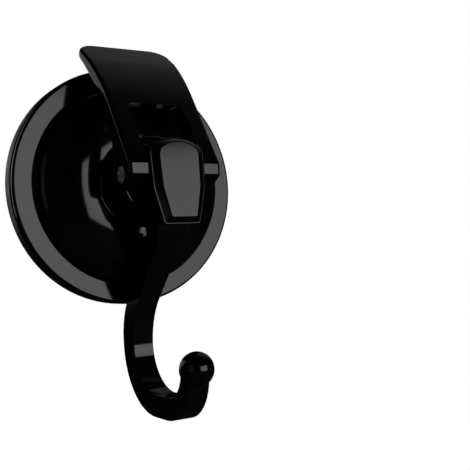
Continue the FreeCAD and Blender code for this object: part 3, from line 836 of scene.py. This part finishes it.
class HOOK_OT_hook(bpy.types.Operator):
    """Makes the hook: a bevelled head, a neck, a shank and a bend that ends in a ball"""

    bl_idname = "hook.hook"
    bl_label = "Hook"

    def execute(self, context):
        z = in_millimetres(context.scene.hook_hook)
        stem = self.stem(z)
        head = self.head(z)
        ball = self.ball(z)
        combine(stem, head, "UNION")
        combine(stem, ball, "UNION")
        lever = in_millimetres(context.scene.hook_lever)
        pin = lever.pin_height
        well = block("well", (-WELL_HALF_WIDTH, BOSS_TOP - CUT_PAST, -WELL_HALF_HEIGHT),
                     (WELL_HALF_WIDTH, pin + WELL_HALF_HEIGHT, WELL_HALF_HEIGHT))
        combine(stem, well, "DIFFERENCE")
        slot = block("slot", (-SLOT_REACH, pin - lever.cam_lift - SLOT_HALF_WIDTH, -SLOT_HALF_WIDTH),
                     (SLOT_REACH, pin + SLOT_HALF_WIDTH, SLOT_HALF_WIDTH))
        bpy.ops.object.mode_set(mode="EDIT")
        bevel(is_crosswise, SLOT_END_ROUND, 6, "the slot's ends")
        bpy.ops.object.mode_set(mode="OBJECT")
        combine(stem, slot, "DIFFERENCE")
        polish(stem, "base", FINISHES["gloss"], "hook", 30.0)
        return {"FINISHED"}

    def stem(self, z):
        """Neck, shank and bend, pulled on from a face under the head."""
        neck_back = BOSS_TOP + NECK_STARTS_OUT
        start = ((NECK_TOP_UP, NECK_FRONT), (NECK_TOP_UP, neck_back))
        shoulder_front, shoulder_foot = (-10.57, NECK_FRONT), (-14.74, 27.52)
        step_top, step_foot = (-13.65, neck_back), (-13.65, 20.18)
        slope_front, slope_back = (-28.67, 14.03), (-29.04, 7.2)
        shank_front, shank_back = (-SHANK_DOWN, SHANK_FRONT), (-SHANK_DOWN, SHANK_BACK)
        low_inside = (-SHANK_DOWN - INNER_BEND, SHANK_FRONT + INNER_BEND)
        low_outside = (-SHANK_DOWN - OUTER_BEND, SHANK_BACK + OUTER_BEND)
        rise_inside, rise_outside = (low_inside[0], 26.3), (low_outside[0], 25.75)
        tip_inside, tip_outside = (-44.1, 33.3), (-45.0, 37.05)
        shoulder_curve, sway_front_curve, sway_back_curve = 6.0, 16.29, 17.0
        tip_inside_curve, tip_outside_curve = 7.0, 11.3
        step_shares = (0.0, 0.2, 0.4, 0.6, 0.8, 1.0)
        slope_shares = (0.09, 0.17, 0.26, 0.4, 0.6, 0.8, 1.0)

        fronts = arc(shoulder_front, shoulder_foot, shoulder_curve, "left", 5)
        backs = blended(step_top, step_foot, step_shares)
        fronts += blended(shoulder_foot, slope_front, slope_shares)
        backs += blended(step_foot, slope_back, slope_shares)
        fronts += arc(slope_front, shank_front, sway_front_curve, "right", 7)[1:]
        backs += arc(slope_back, shank_back, sway_back_curve, "right", 7)[1:]
        fronts += arc(shank_front, low_inside, INNER_BEND, "right", 16)[1:]
        backs += arc(shank_back, low_outside, OUTER_BEND, "right", 16)[1:]
        fronts += arc(rise_inside, tip_inside, tip_inside_curve, "right", 12)
        backs += arc(rise_outside, tip_outside, tip_outside_curve, "right", 12)
        corners = [on_side(start[0], -z.neck_half), on_side(start[0], z.neck_half),
                   on_side(start[1], z.neck_half), on_side(start[1], -z.neck_half)]
        stem = draw("hook_with_ball", corners)
        stations = [start] + list(zip(fronts, backs))
        under_head = (NECK_TOP_UP - UNDER_HEAD_MARGIN) * MM
        sweep(stations, "the stem's stations")
        bpy.ops.mesh.select_all(action="SELECT")
        bpy.ops.mesh.normals_make_consistent(inside=False)
        for station in stations[1:]:
            for place in station:
                spot = on_side(place)
                need("VERT", lambda v: level_with(v, spot), "the stem's taper")
                narrow = stem_half(z, place[0]) / z.neck_half
                bpy.ops.transform.resize(value=(narrow, 1.0, 1.0), center_override=(0.0, 0.0, 0.0))
        bevel(lambda e: is_sharp(e, 60.0) and not is_crosswise(e)
              and max(v.co.z for v in e.verts) < under_head, z.stem_round, 4, "the stem's edges")
        bpy.ops.object.mode_set(mode="OBJECT")
        return stem

    def head(self, z):
        """The head: an arched block with a leaned front, a thin lip and a raised face."""
        crown, shoulder, side = (0.0, 8.05), (5.6, 6.6), (z.head_half, 4.45)
        waist, toe = (6.55, -3.7), (4.5, -11.75)
        crown_curve, shoulder_curve = 11.54, 2.47
        left = [(-out, up) for out, up in (shoulder, side, waist, toe)]
        path = arc(crown, left[0], crown_curve, "left", 5)
        path += arc(left[0], left[1], shoulder_curve, "left", 5)[1:]
        path += [left[2], left[3], toe, waist]
        path += arc(side, shoulder, shoulder_curve, "left", 5)
        path += arc(shoulder, crown, crown_curve, "left", 5)[1:-1]
        path = soften(path, left[3], HEAD_TOE_ROUND, 4)
        path = soften(path, toe, HEAD_TOE_ROUND, 4)
        head = draw("head", [on_front(point, BOSS_TOP) for point in path])
        pull((0.0, -HEAD_STOCK, 0.0))
        bpy.ops.mesh.select_all(action="SELECT")
        bpy.ops.mesh.normals_make_consistent(inside=False)
        bpy.ops.mesh.select_all(action="SELECT")
        lean = math.radians(HEAD_LEAN)
        forward = Vector((0.0, -math.cos(lean), math.sin(lean)))
        bpy.ops.mesh.bisect(plane_co=(0.0, -z.head_face * MM, 0.0), plane_no=forward, use_fill=True,
                            clear_outer=True)
        need("FACE", lambda f: f.normal.dot(forward) > 0.99, "the head's front")
        bpy.ops.mesh.inset(thickness=HEAD_LIP * MM, depth=0.0)
        bpy.ops.mesh.extrude_region_move(TRANSFORM_OT_translate={"value": forward * z.bevel_height * MM})
        bpy.ops.transform.resize(value=(FACE_WIDTH_SHARE, 1.0, FACE_HEIGHT_SHARE),
                                 center_override=(0.0, 0.0, FACE_CENTRE_UP * MM))
        behind_rim = (z.head_face - HEAD_RIM_REACH) * MM
        bevel(lambda e: is_sharp(e, 15.0) and e.is_convex and min(-v.co.y for v in e.verts) > behind_rim,
              HEAD_EDGE_ROUND, 3, "the head's rim and face edges")
        bpy.ops.object.mode_set(mode="OBJECT")
        return head

    def ball(self, z):
        """The ball on the tip."""
        radius = z.ball_radius * MM
        angles = [math.pi * number / BALL_ROWS - math.pi / 2 for number in range(BALL_ROWS + 1)]
        places = [Vector((math.cos(angle) * radius, 0.0, math.sin(angle) * radius)) for angle in angles]
        ball = turn_on_lathe("ball", places, (0.0, 0.0, 1.0))
        bpy.ops.mesh.select_all(action="SELECT")
        shift(BALL_CENTRE)
        bpy.ops.object.mode_set(mode="OBJECT")
        return ball


def light_room(world):
    """White to the camera; in reflections a white backdrop behind the object and a dark room before it."""
    world.use_nodes = True
    tree = world.node_tree
    background = tree.nodes["Background"]
    path = tree.nodes.new("ShaderNodeLightPath")
    coordinates = tree.nodes.new("ShaderNodeTexCoord")
    split = tree.nodes.new("ShaderNodeSeparateXYZ")
    tree.links.new(coordinates.outputs["Generated"], split.inputs["Vector"])
    ramp = tree.nodes.new("ShaderNodeMapRange")
    ramp.inputs["From Min"].default_value = BACKDROP_STARTS
    ramp.inputs["From Max"].default_value = BACKDROP_FULL
    ramp.inputs["To Min"].default_value = 0.0
    ramp.inputs["To Max"].default_value = 1.0
    tree.links.new(split.outputs["Y"], ramp.inputs["Value"])
    mirrored = tree.nodes.new("ShaderNodeMath")
    mirrored.operation = "MAXIMUM"
    tree.links.new(path.outputs["Is Glossy Ray"], mirrored.inputs[0])
    tree.links.new(path.outputs["Is Transmission Ray"], mirrored.inputs[1])
    seen = tree.nodes.new("ShaderNodeMath")
    seen.operation = "MULTIPLY"
    tree.links.new(mirrored.outputs["Value"], seen.inputs[0])
    tree.links.new(ramp.outputs["Result"], seen.inputs[1])
    total = tree.nodes.new("ShaderNodeMath")
    total.operation = "MAXIMUM"
    tree.links.new(path.outputs["Is Camera Ray"], total.inputs[0])
    tree.links.new(seen.outputs["Value"], total.inputs[1])
    tree.links.new(total.outputs["Value"], background.inputs["Strength"])
    background.inputs["Color"].default_value = (1.0, 1.0, 1.0, 1.0)


class HOOK_OT_stage(bpy.types.Operator):
    """Makes the floor, the lamps, the world and the camera"""

    bl_idname = "hook.stage"
    bl_label = "Stage"

    def execute(self, context):
        sizes = context.scene.hook_stage
        scene = context.scene
        scene.view_settings.view_transform = "Standard"

        bpy.ops.object.select_all(action="DESELECT")
        bpy.ops.mesh.primitive_plane_add(size=FLOOR_SIZE, location=(0.0, 0.0, -sizes.floor_drop))
        floor = context.object
        floor.name = "floor"
        bpy.ops.object.transform_apply()
        material, tree, shader = new_material("floor_white")
        shader.inputs["Base Color"].default_value = (FLOOR_GREY, FLOOR_GREY, FLOOR_GREY, 1.0)
        shader.inputs["Roughness"].default_value = 0.9
        path = tree.nodes.new("ShaderNodeLightPath")
        glow = tree.nodes.new("ShaderNodeEmission")
        mix = tree.nodes.new("ShaderNodeAddShader")
        tree.links.new(path.outputs["Is Camera Ray"], glow.inputs["Strength"])
        tree.links.new(shader.outputs["BSDF"], mix.inputs[0])
        tree.links.new(glow.outputs["Emission"], mix.inputs[1])
        tree.links.new(mix.outputs["Shader"], tree.nodes["Material Output"].inputs["Surface"])
        floor.data.materials.append(material)

        world = bpy.data.worlds.new("studio")
        scene.world = world
        light_room(world)

        for name, lamp in LAMPS.items():
            soft_lamp(name, getattr(sizes, name), **lamp)

        data = bpy.data.cameras.new("photo_camera")
        data.lens = sizes.focal_length
        data.sensor_width = SENSOR_WIDTH
        camera = bpy.data.objects.new("photo_camera", data)
        scene.collection.objects.link(camera)
        turn = (
            Matrix.Rotation(math.radians(CAMERA_YAW), 4, "Z")
            @ Matrix.Rotation(math.radians(90.0 + CAMERA_PITCH), 4, "X")
            @ Matrix.Rotation(math.radians(CAMERA_ROLL), 4, "Z")
        )
        camera.matrix_world = Matrix.Translation(CAMERA_PLACE) @ turn
        scene.camera = camera
        return {"FINISHED"}


class HOOK_PT_panel(bpy.types.Panel):
    """Lists the steps of the build"""

    bl_label = "Suction Cup Hook"
    bl_idname = "HOOK_PT_panel"
    bl_space_type = "VIEW_3D"
    bl_region_type = "UI"
    bl_category = "Hook"

    def draw(self, context):
        for operator in OPERATORS:
            self.layout.operator(operator.bl_idname)


OPERATORS = (HOOK_OT_finishes, HOOK_OT_cup, HOOK_OT_housing, HOOK_OT_pin, HOOK_OT_lever, HOOK_OT_hook,
             HOOK_OT_stage)
CLASSES = (HousingSizes, LeverSizes, HookSizes, StageSizes, FinishColours) + OPERATORS + (HOOK_PT_panel,)


def register():
    """Adds the classes and hangs the sizes and colours on the scene."""
    for cls in CLASSES:
        bpy.utils.register_class(cls)
    bpy.types.Scene.hook_housing = PointerProperty(type=HousingSizes)
    bpy.types.Scene.hook_lever = PointerProperty(type=LeverSizes)
    bpy.types.Scene.hook_hook = PointerProperty(type=HookSizes)
    bpy.types.Scene.hook_stage = PointerProperty(type=StageSizes)
    bpy.types.Scene.hook_colours = PointerProperty(type=FinishColours)


def unregister():
    """Takes the sizes, colours and classes away again."""
    del bpy.types.Scene.hook_colours
    del bpy.types.Scene.hook_stage
    del bpy.types.Scene.hook_hook
    del bpy.types.Scene.hook_lever
    del bpy.types.Scene.hook_housing
    for cls in reversed(CLASSES):
        bpy.utils.unregister_class(cls)


def main():
    """Builds every piece and the stage."""
    register()
    bpy.ops.hook.finishes()
    bpy.ops.hook.cup()
    bpy.ops.hook.housing()
    bpy.ops.hook.pin()
    bpy.ops.hook.lever()
    bpy.ops.hook.hook()
    bpy.ops.hook.stage()


if __name__ == "__main__":
    main()
